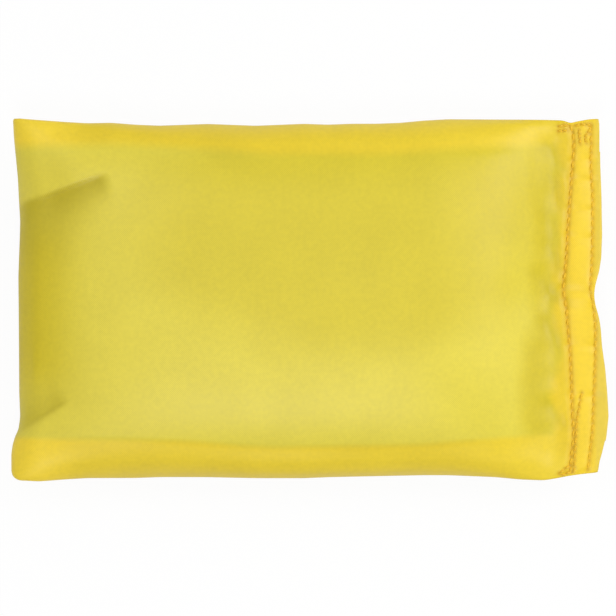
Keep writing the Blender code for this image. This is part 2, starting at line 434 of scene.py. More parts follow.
settled = skin_object.evaluated_get(bpy.context.evaluated_depsgraph_get()).data
settled_places = np.array([corner.co for corner in settled.vertices])
moves = np.clip((settled_places - skin_places) / sim_scale, -settle_cap, settle_cap)
bpy.context.scene.frame_set(1)
bpy.data.objects.remove(skin_object)
print("the cloth settled by up to", (np.abs(moves).max(axis=0) / mm).round(2), "mm")


# %% Read the moves back as two even grids
lookup = KDTree(len(skin_places))
for index, place in enumerate(skin_places / sim_scale):
    lookup.insert(place, index)
lookup.balance()


def grid_of_moves(side):
    """The move of every point of a panel's even grid, found by where the point began."""
    found = np.zeros((cells_x + 1, cells_y + 1, 3))
    for row, column in np.ndindex(found.shape[:2]):
        x = fold_x + row / cells_x * (hem_start_x - fold_x)
        y = (2 * column / cells_y - 1) * edge_y
        at_rim = row in (0, cells_x) or column in (0, cells_y)
        found[row, column] = moves[lookup.find(skin_point(x, y, side, at_rim))[1]]
    return found


def spline_weight(distance):
    """How much a line of the grid counts, some steps away from it."""
    near = np.abs(distance)
    inside = 2 / 3 - near**2 + near**3 / 2
    outside = (2 - near) ** 3 / 6
    return np.where(near < 1, inside, np.where(near < 2, outside, 0))


def smooth_sample(grid, row, column):
    """A smooth value between the grid's points, from the lines round them (cubic B-spline)."""
    total = 0
    row_start, column_start = np.floor(row), np.floor(column)
    for step_row in range(-1, 3):
        row_weight = spline_weight(row - row_start - step_row)
        for step_column in range(-1, 3):
            weight = row_weight * spline_weight(column - column_start - step_column)
            i = np.clip(row_start + step_row, 0, grid.shape[0] - 1).astype(int)
            j = np.clip(column_start + step_column, 0, grid.shape[1] - 1).astype(int)
            total = total + weight[:, None] * grid[i, j]
    return total


panel_moves = {side: grid_of_moves(side) for side in (1, -1)}
print("the panels' grids are", panel_moves[1].shape[:2])

# %% [markdown]
# ## Folding the strip
#
# The cover is made the way it is sewn: one flat grid is folded into the bag. Each line of the grid
# knows which zone of the strip it belongs to, such as a turned-in end, the hem's fold, a panel, or a
# seam allowance. The lines lie closer together at the hem, where the stitches pull the cloth into small
# puckers. The flat strip's own lengths are kept as a UV map, so the weave later follows the cloth.

# %% Lay out the lines of the strip
hem_spacing = 0.3 * mm
panel_spacing = 1.0 * mm
crease_spacing = 0.5 * mm
crease_start, crease_end = -58 * mm, -41 * mm
cross_spacing = 0.42 * mm
fold_steps = 6
turn_in_steps = 8
allowance_steps = 4


def even(start, end, spacing):
    return np.linspace(start, end, round(abs(end - start) / spacing) + 1)


def length_lines():
    """Lines along the strip: zone, x, turn about the folded end and turn about the hem's fold."""
    flap = np.linspace(flap_end_x, hem_fold_x, turn_in_steps)
    turned_in = [("turned_in", x, 0, math.pi) for x in flap]
    hem_turns = np.linspace(math.pi, 0, fold_steps)[1:]
    turned_in += [("turned_in" if turn > 1 else "hem", hem_fold_x, 0, turn) for turn in hem_turns]
    hem = [("hem", x, 0, 0) for x in even(hem_fold_x, hem_start_x, hem_spacing)[1:-1]]
    panel = [("panel", x, 0, 0) for x in even(hem_start_x, crease_end, panel_spacing)]
    panel += [("panel", x, 0, 0) for x in even(crease_end, crease_start, crease_spacing)[1:-1]]
    panel += [("panel", x, 0, 0) for x in even(crease_start, fold_x, panel_spacing)]
    top = turned_in + hem + panel
    fold = [("panel", fold_x, turn, 0) for turn in np.linspace(0, math.pi, fold_steps + 2)[1:-1]]
    bottom = [(zone, x, math.pi, hem_turn) for zone, x, _, hem_turn in reversed(top)]
    return top + fold + bottom


def cross_lines():
    """Lines across the strip: zone, y and turn about the side's fold."""
    allowance = np.linspace(allowance_y, edge_y, allowance_steps)[:-1]
    turns = np.linspace(math.pi, 0, fold_steps)
    side = [("allowance", -y, math.pi) for y in allowance]
    side += [("side_fold", -edge_y, turn) for turn in turns]
    panel = [("panel", y, 0) for y in even(-edge_y, edge_y, cross_spacing)[1:-1]]
    return side + panel + [(zone, -y, turn) for zone, y, turn in reversed(side)]


rows = length_lines()
columns = cross_lines()
print("the strip is a grid of", len(rows), "by", len(columns), "lines")


# %% Fold it round the filling
def column_of(lines, index):
    return np.array([line[index] for line in lines])


row_zone, row_x, row_turn, row_hem_turn = (column_of(rows, index)[:, None] for index in range(4))
col_zone, col_y, col_turn = (column_of(columns, index)[None, :] for index in range(3))
across = row_x * 0 + col_y
along = row_x + col_y * 0
is_top = row_turn < math.pi / 2
in_panel = (row_zone == "panel") & (col_zone == "panel")

radius = (edge_height(along) - inner_layer) / 2
side_reach = bag_width / 2 - cloth_thickness / 2 - radius * (1 - np.sin(col_turn))
height = np.where(is_top, top_height(along, across), bottom_height(along, across))
flat_height = inner_layer + inner_layer * (1 + np.cos(row_hem_turn)) + 0 * across
height = np.where(row_zone == "panel", height, flat_height)
height = np.where(col_zone == "side_fold", inner_layer + radius * (1 + np.cos(col_turn)), height)
height = np.where(col_zone == "allowance", inner_layer, height)
across = np.where(col_zone == "side_fold", np.copysign(side_reach, across), across)
hem_push = np.where(col_zone == "panel", inner_layer * np.sin(row_hem_turn), 0)
folded_x, folded_y = drawn_in(along + hem_push, across)
folded_x = folded_x - height * np.sin(row_turn)
folded_z = seam_height + height * np.cos(row_turn)
places = np.stack([folded_x, folded_y, folded_z], axis=-1)

grid_row = (along - fold_x) / (hem_start_x - fold_x) * cells_x
grid_column = (across / edge_y + 1) / 2 * cells_y
for side in (1, -1):
    chosen = in_panel & (is_top if side > 0 else ~is_top)
    places[chosen] += smooth_sample(panel_moves[side], grid_row[chosen], grid_column[chosen])


# %% Round off the rims
rim_passes = 14
rim_reach = 3 * mm
side_blend = (31 * mm, 37 * mm)
end_blend = (-54 * mm, -60 * mm)


def soften(points, inner=None, passes=1):
    """Moves some rows of points, or all but the end ones, towards the rows beside them."""
    inner = np.arange(1, len(points) - 1) if inner is None else inner
    for _ in range(passes):
        points[inner] = (points[inner - 1] + 2 * points[inner] + points[inner + 1]) / 4


def corners_of(points):
    """The lowest and the highest corner round some points, in millimetres."""
    listed = points.reshape(-1, 3) / mm
    return listed.min(0).round(1), listed.max(0).round(1)


full_y = np.abs(places[..., 1]).max(axis=1)
full_x = places[..., 0].min(axis=0)

beside_edge = (col_zone[0] == "panel") & (np.abs(col_y[0]) > edge_y - rim_reach)
soft_columns = (col_zone[0] == "side_fold") | beside_edge
soft_columns[[0, -1]] = False
soft_rows = (row_zone[:, 0] == "panel") & (row_x[:, 0] < fold_x + rim_reach)
for _ in range(rim_passes):
    soften(places.swapaxes(0, 1), np.flatnonzero(soft_columns))
    soften(places, np.flatnonzero(soft_rows))
lost_y = (full_y - np.abs(places[..., 1]).max(axis=1))[:, None]
lost_x = (places[..., 0].min(axis=0) - full_x)[None, :]
places[..., 1] += np.sign(places[..., 1]) * lost_y * rise(np.abs(places[..., 1]), *side_blend)
places[..., 0] -= lost_x * rise(places[..., 0], *end_blend)
print("folded, from corner to corner:", *corners_of(places), "mm")

# %% [markdown]
# ## Creases, dimples and puckers
#
# The photograph shows a few marks that this one bag has: a sharp crease that runs in from the left
# edge, a wedge below it, a shallow groove where the seam allowances end inside, a broad, low fold at
# the far corner by the hem, and short puckers that run into the inner row of stitches. Each could be
# painted as a bump, but then it would vanish at the rim and in other light. Here each is a soft ridge
# or valley along a straight line, which moves the cloth in or out along its own normal. The tables give
# its two ends, its width, its height and any lean, in millimetres from the middle of the bag, as seen
# from above. The bands over the allowances also bow a little, as the allowances do.


# %% Ridges and valleys along a line
fold_end_fade = 1.4
fold_lean_reach = 0.4
tuck_edge = 0.6 * mm
tuck_lip = 0.12
tuck_fade = (-63 * mm, -54 * mm)


def beside_line(x, y, start, end):
    """How far points lie along a line and to its left, and its length. Its ends are in millimetres."""
    run_x, run_y = (end[0] - start[0]) * mm, (end[1] - start[1]) * mm
    length = math.hypot(run_x, run_y)
    from_x, from_y = x - start[0] * mm, y - start[1] * mm
    run = (from_x * run_x + from_y * run_y) / length
    left = (from_y * run_x - from_x * run_y) / length
    return run, left, length


def fold_line(x, y, start, end, width, height, lean=0.0):
    """A ridge along a line, or a valley where the height is below zero. It leans to the line's left."""
    run, left, length = beside_line(x, y, start, end)
    beyond = np.maximum(0, np.abs(run - length / 2) - length / 2)
    reach = width * mm * (1 + lean * np.tanh(left / (fold_lean_reach * width * mm)))
    fade = (beyond / (fold_end_fade * width * mm)) ** 2
    return height * mm * np.exp(-((left / reach) ** 2) - fade)


def tuck(x, y, start, end, side, depth, onset, reach, spread):
    """A crease with one side sunk, left of its line if side is 1 and right of it if side is -1.

    The sunk side widens from the line's start. Gives the height, and the share of painted shade on the
    sunk side.
    """
    run, left, _ = beside_line(x, y, start, end)
    off = side * left
    fading = bell(np.maximum(0, off), 0, reach * mm + spread * np.maximum(0, run))
    lip = tuck_lip * bell(off, -1.5 * mm, 2.5 * mm) * (off < 0)
    grown = 1 - np.exp(-np.maximum(0, run) / (onset * mm))
    shape = (lip - rise(off, 0, tuck_edge) * fading) * grown
    in_view = rise(run, 0, 2.4 * mm) * rise(x, -63.5 * mm, -59.5 * mm)
    # Painted shade on the sunk side of the crease
    crease_shade = rise(off, -tuck_edge, 0.7 * mm) * fading * in_view
    return depth * mm * shape * rise(x, *tuck_fade), depth * crease_shade


# %% List the marks of the top panel
left_end_tucks = (
    ((-42.9, 27.2), (-62.5, 20.2), 1, 0.95, 3, 4, 0.25),
    ((-50.8, -21.4), (-61.2, -28), -1, 0.62, 3, 3.6, 0.2),
)
left_end_folds = (
    ((-58.3, -11.6), (-58.2, -15.6), 0.9, 0.2),
    ((-53.5, 36), (-45, 35.3), 1.5, -0.3),
    ((-52, 31), (-49, 24.5), 4, 0.3),
)
far_corner_folds = (
    ((44, 35), (42.5, 6), 8, 0.45),
)
band_folds = (
    ((-56, -29.7), (36, -29.7), 1, -0.13, -0.4),
    ((-57, -34), (48, -34.2), 2.6, 0.3),
    ((-50, 33), (10, 33.2), 1.6, -0.12, 0.3),
    ((10, 33.2), (50, 32.6), 1.6, -0.1, 0.3),
    ((-46, 36), (50, 36), 2, 0.12),
)
hem_puckers = (
    ((50.1, 32.5), (54.6, 27.6), 1.4, -0.3),
    ((52, 25), (53.1, 19.9), 1.4, -0.4),
    ((50.2, 18.6), (51.6, 14.5), 1.4, -0.35),
    ((51, 11.4), (52.7, 6.8), 1.4, -0.4),
    ((47.5, 5.4), (51.2, 1.2), 1.4, -0.35),
    ((51.8, 0.9), (54.4, -0.4), 1.2, -0.3),
    ((49.8, -5), (52.2, -9.4), 1.4, -0.35),
    ((51, -23), (53.4, -26.4), 1.2, -0.4),
    ((47.4, -11), (48.4, -27), 2.2, -0.2),
)
hem_cross_creases = (
    ((55.8, 29.6), (60.6, 30.2), 0.9, -0.2),
    ((55.8, 25.7), (60.6, 25.4), 0.9, -0.28),
    ((55.4, 19.2), (60.6, 19), 0.9, -0.24),
    ((55.2, 13.4), (60.6, 13), 0.9, -0.24),
    ((54, 2), (61.5, 1.9), 1.2, -0.4),
    ((55.4, -9.6), (61, -9.8), 0.9, -0.26),
    ((56, -20.4), (61.2, -20.8), 0.9, -0.22),
)
top_folds = left_end_folds + far_corner_folds + hem_cross_creases
band_bow = 1.7 * mm
bow_from_fold = (-46 * mm, -4 * mm)
bow_from_hem = (50 * mm, 14 * mm)


def band_shift(x):
    """How far the two bands over the allowances lie nearer to you in the middle of the bag."""
    return band_bow * rise(x, *bow_from_fold) * rise(x, *bow_from_hem)


print(len(top_folds + band_folds + left_end_tucks + hem_puckers), "marks on the top panel")

# %% [markdown]
# The underside isn't in the photograph. It lies on the table, so it is nearly smooth: the same grooves
# along the allowances, puckers of its own into the hem's inner row, and a few long, low waves where the
# cloth turns up to the sides. Their places are picked by a seeded random generator, so they are the
# same on every run.

# %% Folds on the underside
pucker_pitch = 6.4
wave_pitch = 11.5
chance = random.Random(7)
under_folds = [
    ((-53, -30.8), (46, -30.8), 1.2, 0.25),
    ((-53, 30.8), (46, 30.8), 1.2, 0.25),
]
for step in range(11):
    at_y = -33 + step * pucker_pitch + chance.uniform(-1.2, 1.2)
    turn = chance.uniform(-2.4, 2.4)
    start = (chance.uniform(47.5, 50.0), at_y + turn)
    under_folds.append((start, (55.0, at_y), chance.uniform(1.0, 1.5), chance.uniform(-0.5, -0.25)))
for step in range(9):
    at_x = -50 + step * wave_pitch + chance.uniform(-3, 3)
    side = 1 if step % 2 else -1
    start, end = (at_x, side * 35.5), (at_x + chance.uniform(-4, 4), side * chance.uniform(26, 30))
    under_folds.append((start, end, chance.uniform(1.6, 2.4), chance.uniform(-0.45, 0.45)))
print(len(under_folds), "folds on the underside")

# %% [markdown]
# ## The rows of stitches, as lines
#
# The two rows run across the bag nearly straight, but by hand and eye: they wander by about a
# millimetre, and both bend in at the notch where the hem was caught. Beside them are a short second run
# at the near end, and a few stitches back and forth at both ends, which lock the thread. These lines
# are needed before the cloth is finished, because every stitch pulls it down a little.

# %% Where the stitches run
outer_row_path = (
    (59.6, 37.4), (60, 34.6), (59.9, 29), (60.3, 23), (60.3, 15), (60.1, 7), (59.6, 2.4),
    (60.4, -0.8), (60.9, -5), (60.9, -12), (60.6, -20), (60.3, -27), (59.8, -32), (59.2, -36.2),
)
inner_row_path = (
    (55.3, 37.7), (56.3, 35.6), (56.2, 31), (55.8, 26), (55.4, 21), (55, 15), (54.7, 9),
    (54.1, 4.2), (53.9, 1.6), (54.7, -1.4), (55, -6), (55.5, -11), (55.8, -18), (56, -25),
    (56.3, -29.5), (55.6, -33.5), (55.5, -37.4),
)
short_run_path = (
    (58, -19.8), (57.5, -22.4), (56.9, -25.4), (56.7, -29.4), (56.4, -34), (56.2, -37.2),
)
tack_paths = (
    ((56.5, 37.2), (58.2, 37.6), (60.0, 37.3)),
    ((57.3, 36.4), (57.6, 33.4)),
    ((59.9, 36.6), (58.6, 35.0), (58.9, 33.6)),
    ((55.0, 37.4), (52.9, 37.0)),
    ((54.8, 36.3), (52.8, 36.0)),
    ((55.4, -35.2), (53.0, -37.0)),
    ((55.6, -36.6), (53.4, -37.5)),
)
stitch_pitch = 2 * mm
short_run_pitch = 1.6 * mm
tack_pitch = 1.2 * mm
path_passes = 160
path_points = 600


def lengths_along(points):
    """How far each point lies along the line through all of them."""
    return np.concatenate([[0], np.cumsum(np.linalg.norm(np.diff(points, axis=0), axis=1))])


def points_at(line, steps):
    """The points of a line at some distances along it."""
    lengths = lengths_along(line)
    return np.stack([np.interp(steps, lengths, line[:, axis]) for axis in (0, 1)], axis=1)


def smooth_path(path, spacing):
    """Points at an even spacing along a smooth line through the path's points, in metres."""
    knots = np.array(path) * mm
    line = points_at(knots, np.linspace(0, lengths_along(knots)[-1], path_points))
    soften(line, passes=path_passes)
    length = lengths_along(line)[-1]
    return points_at(line, np.linspace(0, length, max(1, round(length / spacing)) + 1))


stitch_rows = {
    "hem_outer_row": [smooth_path(outer_row_path, stitch_pitch)],
    "hem_inner_row": [smooth_path(inner_row_path, stitch_pitch)],
    "hem_short_run": [smooth_path(short_run_path, short_run_pitch)],
}
stitch_rows["hem_short_run"] += [smooth_path(path, tack_pitch) for path in tack_paths]
needle_points = np.concatenate([line for lines in stitch_rows.values() for line in lines])
print({name: [len(line) for line in lines] for name, lines in stitch_rows.items()}, "needle points")

# %% Pull the cloth down at every stitch
outer_line = smooth_path(outer_row_path, 0.5 * mm)
inner_line = smooth_path(inner_row_path, 0.5 * mm)
pad_height = 0.34 * mm
inner_pad_height = 0.3 * mm
rim_height = 0.12 * mm
valley_depth = 0.36 * mm
valley_ripple = 0.12 * mm
groove_depth = 0.1 * mm
groove_width = 0.5 * mm


def row_x_at(line, y):
    """The x of a row of stitches, at some y."""
    ordered = line[np.argsort(line[:, 1])]
    return np.interp(y, ordered[:, 1], ordered[:, 0])


def hem_relief(x, y):
    """The pads between the rows and beside them, the valley before them and the grooves along them."""
    inner_x, outer_x = row_x_at(inner_line, y), row_x_at(outer_line, y)
    before = inner_x - x
    share = np.clip((x - inner_x) / (outer_x - inner_x), 0, 1)
    pad = pad_height * np.sqrt(np.clip(np.sin(math.pi * share), 0, 1))
    inner_pad = inner_pad_height * rise(before, 0, 1.6 * mm) * rise(before, 9 * mm, 4 * mm)
    ripple = valley_ripple * np.sin(y / (1.1 * mm)) * np.sin(y / (4.3 * mm))
    valley = (ripple - valley_depth) * bell(before, 4.8 * mm, 1.9 * mm)
    rim = rim_height * rise(x - outer_x, 0, 1.2 * mm)
    groove = -groove_depth * (bell(x, inner_x, groove_width) + bell(x, outer_x, groove_width))
    return pad + inner_pad + valley + rim + groove


def needle_marks(x, y):
    """1 at every needle point, and 0 away from it."""
    marks = 0
    for point_x, point_y in needle_points:
        marks = np.maximum(marks, bell(x, point_x, 0.42 * mm) * bell(y, point_y, 0.46 * mm))
    return marks


def row_marks(x, y):
    """1 along the rows of stitches, less beside them, and 0 away from them."""
    marks = 0
    for line, strength in ((inner_line, 1.0), (outer_line, 0.5)):
        row_x = row_x_at(line, y)
        mark = 0.7 * bell(x, row_x, 0.45 * mm) + 0.3 * bell(x, row_x, 1.2 * mm)
        marks = np.maximum(marks, strength * mark)
    return marks


print("the rows lie", np.round((row_x_at(outer_line, 0) - row_x_at(inner_line, 0)) / mm, 1), "mm apart")

# %% [markdown]
# ## The outline, as this bag lies
#
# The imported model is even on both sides. The real bag isn't: its sides waver by half a millimetre, the
# near left ear is blunt and the far one pointed, and the hem bulges towards the near end and is nicked
# beside the notch. Four small tables give the outline that the photograph shows, and the whole cloth,
# with its inner layers, is drawn to it. The hem also droops a little, because nothing fills it.

# %% List the outline and its waves
far_side = (
    (-64, 38.9), (-60, 38.6), (-57.8, 38.4), (-52.7, 38), (-47.5, 37.7), (-42.4, 37.8),
    (-37.3, 37.4), (-32.1, 37.2), (-27, 37.4), (-21.9, 37.6), (-16.8, 37.4), (-11.6, 37.2),
    (-6.5, 37.4), (-1.4, 37.6), (3.7, 37.4), (8.9, 37.6), (14, 37.6), (19.1, 37.8), (24.2, 38.3),
    (29.4, 38.6), (50, 38.5), (54, 38.4), (54.9, 38.1), (55.6, 37.7), (56.4, 38.1), (57.6, 38.3),
    (59.7, 38.7), (64, 38.8),
)
near_side = (
    (-64, -38.4), (-57.8, -38.7), (-52.7, -38.3), (-47.5, -38), (-37.3, -38), (-32.1, -37.8),
    (-21.9, -37.8), (-11.6, -38), (-1.4, -38), (3.7, -37.8), (14, -37.6), (24.2, -37.4),
    (29.4, -37.4), (34.5, -37.6), (39.6, -37.8), (44.8, -38.3), (49.9, -38.5), (53, -38),
    (55, -37.6), (58, -37.2), (64, -36.6),
)
left_end = (
    (-40, -63.8), (-33, -63.8), (-31, -63.5), (-29, -62.9), (-28, -62.3), (-25, -61.9),
    (-20, -62.1), (-5, -62.2), (5, -62.3), (13, -62), (17, -61.9), (22, -62.2), (26, -62.4),
    (30, -62.8), (35, -63.3), (40, -63.6),
)
right_end = (
    (-40, 61.6), (-36.5, 61.9), (-34.5, 62.5), (-31, 63.3), (-26, 63.8), (-20, 63.5), (-15, 63.1),
    (-10, 62.4), (-6, 62.1), (-3.6, 61.7), (-1, 60.9), (1.2, 60.6), (3.4, 60.9), (6, 61.7),
    (9, 62.2), (14, 62.4), (22, 62.3), (30, 62), (40, 61.9),
)
corner_rounding = ((-1, -1, 2.6), (-1, 1, 0.3), (1, -1, 1.0), (1, 1, 0.9))
hem_droop = 1.1 * mm
hem_buckle = 0.9 * mm
hem_sway = 0.35 * mm
side_wave = 0.45 * mm
ear_lift = 0.8 * mm
print("the outline has", len(far_side + near_side + left_end + right_end), "points")


# %% Draw the cloth to its outline
outline_step = 0.25
outline_passes = 8


def outline_at(table, place):
    """The outline at a place, with the table's corners rounded off."""
    dense = np.arange(-70, 70, outline_step) * mm
    edge = np.interp(dense, *np.array(table).T * mm)
    soften(edge, passes=outline_passes)
    return np.interp(place, dense, edge)


def round_corner(x, y, corner_x, corner_y, reach):
    """Draws a square corner in to a quarter of a circle."""
    u = np.clip(1 - np.abs(corner_x - x) / reach, 0, 1)
    v = np.clip(1 - np.abs(corner_y - y) / reach, 0, 1)
    drop_x = reach * (u - u * np.sqrt(1 - v * v / 2))
    drop_y = reach * (v - v * np.sqrt(1 - u * u / 2))
    return x - np.sign(corner_x) * drop_x, y - np.sign(corner_y) * drop_y


def lift_at(x, y):
    """How far the cloth lies above the even bag: the hem droops and buckles, and the rim waves."""
    droop = -hem_droop * rise(x, 48 * mm, 62 * mm)
    buckle = hem_buckle * bell(y, 2 * mm, 3 * mm) * rise(x, 52 * mm, 61 * mm)
    sway = hem_sway * np.sin(y / (6.5 * mm) + 1) * rise(x, 50 * mm, 62 * mm)
    wave = side_wave * np.sin(x / (9 * mm) + np.where(y > 0, 0.6, 2.2))
    ears = ear_lift * rise(x, -50 * mm, -63 * mm)
    return droop + buckle + sway + (wave + ears) * rise(np.abs(y), 30 * mm, 38 * mm)


def as_it_lies(points):
    """Points of the even bag, moved to where the cloth of this bag lies."""
    x, y, z = points[..., 0], points[..., 1], points[..., 2]
    end_x, side_y = bag_length / 2, bag_width / 2
    for end, side, reach in corner_rounding:
        x, y = round_corner(x, y, end * end_x, side * side_y, reach * mm)
    level_y = np.clip(y, -38 * mm, 38 * mm)
    even_left = drawn_in(-end_x + 0 * y, y)[0]
    left_move = (outline_at(left_end, level_y) - even_left) * rise(x, -20 * mm, -60 * mm)
    right_move = (outline_at(right_end, level_y) - end_x) * rise(x, 34 * mm, 58 * mm)
    new_x = x + left_move + right_move
    even_side = drawn_in(x, side_y + 0 * x)[1]
    far_share = outline_at(far_side, new_x) / even_side
    near_share = -outline_at(near_side, new_x) / even_side
    towards_side = rise(np.abs(y), 0, 36 * mm)
    new_y = y * (1 + towards_side * (np.where(y > 0, far_share, near_share) - 1))
    return np.stack([new_x, new_y, z + lift_at(new_x, new_y)], axis=-1)


lying = as_it_lies(places)
print("as it lies, from corner to corner:", *corners_of(lying), "mm")

# %% [markdown]
# ## The cover, folded and creased
#
# Now the pieces come together. The outward direction of the cloth is found from the grid itself, the
# creases and the relief of the hem are added along it, and the flat grid made by Blender is given these
# places. Its corners beside the turned-in hem are cut away, as a sewer clips them so that they don't
# bunch up. A Solidify modifier gives the cloth its thickness.

# %% Add the creases along the cloth's own normal
straight_near_hem = (44 * mm, 51 * mm)
pucker_share = 0.7
pucker_shade = 0.35
full_pucker = 0.4 * mm
needle_dent = 0.14 * mm
deepest_in_hem = 0.15 * mm
deepest_on_panel = 2 * mm

along_grid = np.gradient(lying, axis=0)
across_grid = np.gradient(lying, axis=1)
outward = np.cross(along_grid, across_grid)
outward /= np.linalg.norm(outward, axis=-1, keepdims=True) + 1e-12
top_row = int(np.argmin(np.abs(row_x[:, 0]) + 10 * row_turn[:, 0]))
outward *= np.sign(outward[top_row, len(columns) // 2, 2])
straight_up = np.zeros(outward.shape)
straight_up[..., 2] = np.where(is_top, 1, -1)
near_hem = rise(lying[..., 0:1], *straight_near_hem)
outward = outward + (straight_up - outward) * near_hem

shown = ((row_zone == "panel") | (row_zone == "hem")) & (col_zone == "panel")
x, y = lying[..., 0], lying[..., 1]
relief, dents, crease_shade = (np.zeros(x.shape) for _ in range(3))
for side, folds in ((1, top_folds), (-1, under_folds)):
    chosen = shown & (is_top if side > 0 else ~is_top)
    spots = x[chosen], y[chosen]
    total = hem_relief(*spots)
    for fold in folds:
        total += fold_line(*spots, *fold)
    if side > 0:
        for fold in band_folds:
            total += fold_line(spots[0], spots[1] + band_shift(spots[0]), *fold)
        # Each crease and pucker also gives a share of painted shade to its hollow
        for height, share in (tuck(*spots, *fold) for fold in left_end_tucks):
            total += height
            crease_shade[chosen] += share
        pucker = sum(fold_line(*spots, *fold) for fold in hem_puckers)
        total += pucker_share * pucker
        crease_shade[chosen] += pucker_shade * np.clip(-pucker / full_pucker, 0, 1)
    relief[chosen] = total
    dents[chosen] = needle_marks(*spots)
edge_fade = rise(np.abs(across), edge_y, edge_y - 1.5 * mm) * rise(along, fold_x, fold_x + 3 * mm)
extra_depth = (deepest_on_panel - deepest_in_hem) * rise(x, 53.4 * mm, 48.9 * mm)
relief = np.maximum(relief, -deepest_in_hem - extra_depth) * edge_fade - needle_dent * dents
final_places = lying + outward * relief[..., None]
print("relief from", round(relief.min() / mm, 2), "to", round(relief.max() / mm, 2), "mm")

# %% Make the mesh of the strip
strip = bmesh.new()
bmesh.ops.create_grid(strip, x_segments=len(rows) - 1, y_segments=len(columns) - 1, size=0.5)
flat_rows = lengths_along(places[:, len(columns) // 2])
flat_columns = lengths_along(places[top_row])
flat_map = strip.loops.layers.uv.new("flat_cloth")
marks = {"needle_shade": dents, "row_mark": np.where(shown, row_marks(x, y), 0), "crease_shade": crease_shade}
layers = {name: strip.verts.layers.float.new(name) for name in marks}
line_of = {}
for corner in strip.verts:
    line_of[corner] = (
        round((corner.co.x + 0.5) * (len(rows) - 1)),
        round((corner.co.y + 0.5) * (len(columns) - 1)),
    )
for face in strip.faces:
    for loop in face.loops:
        row, column = line_of[loop.vert]
        loop[flat_map].uv = (flat_rows[row], flat_columns[column])


def is_clipped(face):
    """Whether a face is in a corner beside the turned-in hem."""
    lines = [line_of[corner] for corner in face.verts]
    turned_in = any(rows[row][0] == "turned_in" for row, _ in lines)
    return turned_in and any(abs(columns[column][1]) > flap_y for _, column in lines)


clipped = [face for face in strip.faces if is_clipped(face)]
for corner, (row, column) in line_of.items():
    corner.co = final_places[row, column]
    for name, layer in layers.items():
        corner[layer] = marks[name][row, column]
bmesh.ops.delete(strip, geom=clipped, context="FACES")
bmesh.ops.recalc_face_normals(strip, faces=strip.faces)
print("flat strip:", round(flat_rows[-1] / mm), "x", round(flat_columns[-1] / mm), "mm")
print("its mesh has", len(strip.faces), "faces")


# %% Give the cloth its thickness
def add_piece(name, shape, finish):
    """A finished piece of the bag, smooth-shaded, at the origin."""
    mesh = mesh_of(name, shape)
    mesh.shade_smooth()
    mesh.materials.append(finish)
    return add_object(name, mesh)


nylon, nylon_shader, start = new_material("yellow_nylon", Sheen_Weight=0.05, Sheen_Roughness=0.4)
cover = add_piece("nylon_cover", strip, nylon)
thickness = cover.modifiers.new("thickness", "SOLIDIFY")
thickness.thickness = cloth_thickness
thickness.offset = 0
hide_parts("cover_cloth")
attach(cover, "root")

surface = BVHTree.FromObject(cover, bpy.context.evaluated_depsgraph_get())
print("the cover is", round(cloth_thickness / mm, 2), "mm thick")

# %% [markdown]
# ## Nylon
#
# The cloth is a thin, coated nylon in a fine basket weave, bright yellow with a satin sheen. Away from
# the middle of the far half it is paler: partly the pale filling showing through, partly painted sheen.
# Where no filling lies behind it, at the left end and before the hem, it is darker, and there the colour
# also holds painted shade, as do the far corner by the hem and the rim beyond the outer row. Where the
# seam allowances or the turned-in hem lie beneath, more dye is in the way and it turns towards orange.
# So the colour is built from where a point lies on the bag, and the weave from the flat cloth's own map,
# so that the threads follow every fold. Slow noise keeps the colour from being even. Three values kept
# with the mesh's points colour the painted shade in the hollows under the creases and puckers, the rows
# of stitches, where the cloth is pulled together, and the painted shadow in the holes that the needle
# made.

# %% Choose the colours of the nylon
# The plain nylon of the middle of the far half, and a paler colour that is partly the filling showing
# through and partly painted sheen
without_painted_sheen = (0.66, 0.54, 0.024, 1)
pale_filling_and_sheen = (0.72, 0.605, 0.05, 1)
over_allowance = (0.78, 0.58, 0.02, 1)
# Darker and more olive where no filling lies behind the cloth; the same colour also paints shade there
# and at the far corner by the hem
empty_cloth_and_shade = (0.64, 0.51, 0.01, 1)
# Painted shade in the hollows of the creases and puckers
crease_shade_colour = (0.49, 0.395, 0.008, 1)
over_ears = (0.87, 0.64, 0.03, 1)
over_turn_in = (0.75, 0.54, 0.004, 1)
between_rows = (0.85, 0.6, 0.015, 1)
# Painted shade on the hem's rim beyond the outer row, where the cloth rolls over
hem_rim_shade = (0.76, 0.56, 0.04, 1)
stitched_down = (0.68, 0.42, 0.002, 1)
# Painted shadow in the holes that the needle made
needle_hole_shade = (0.6, 0.36, 0.0, 1)
print("over the filling:", pale_filling_and_sheen[:3])


# %% Say where each colour lies
def kept_mark(start, name):
    """A value that the mesh keeps with its points."""
    return start.node("ShaderNodeAttribute", {"attribute_name": name}, {}, output=2)


place = object_place(start)
at_x, at_y = place.axis(0), place.axis(1)
slow = noise(start, place, 28) - 0.5
wander = slow * (2.2 * mm)
puffs = (noise(start, place, 150, 1.0) - 0.5) * (7 * mm)
slack = (-1 * at_y).rise(4 * mm, 14 * mm) * (2.5 * mm)
side_x = (at_x - 9 * mm) * (1 / (41 * mm))
side_y = (at_y - 15 * mm) * (1 / (25 * mm))
# Away from the middle of the far half the colour is paler: partly the filling showing through, partly
# painted sheen
pale_and_sheen = (side_x * side_x + side_y * side_y + slow * 0.9).rise(0.5, 1.6)
band_y = at_y + at_x.rise(*bow_from_fold) * at_x.rise(*bow_from_hem) * band_bow
in_near_allowance = (wander - band_y).rise(28.4 * mm, 30.2 * mm)
in_far_allowance = (band_y + wander).rise(31.4 * mm, 34.6 * mm)
# Before the hem and at the left end no filling lies behind the cloth, and the darker colour there also
# holds painted shade
hem_side_empty_and_shade = (at_x + wander + puffs * 0.5 + slack).rise(45 * mm, 51 * mm)
left_end_empty_and_shade = (wander - at_x).rise(45 * mm, 59 * mm) * (at_y + 1 * mm).size().rise(25 * mm, 11 * mm)
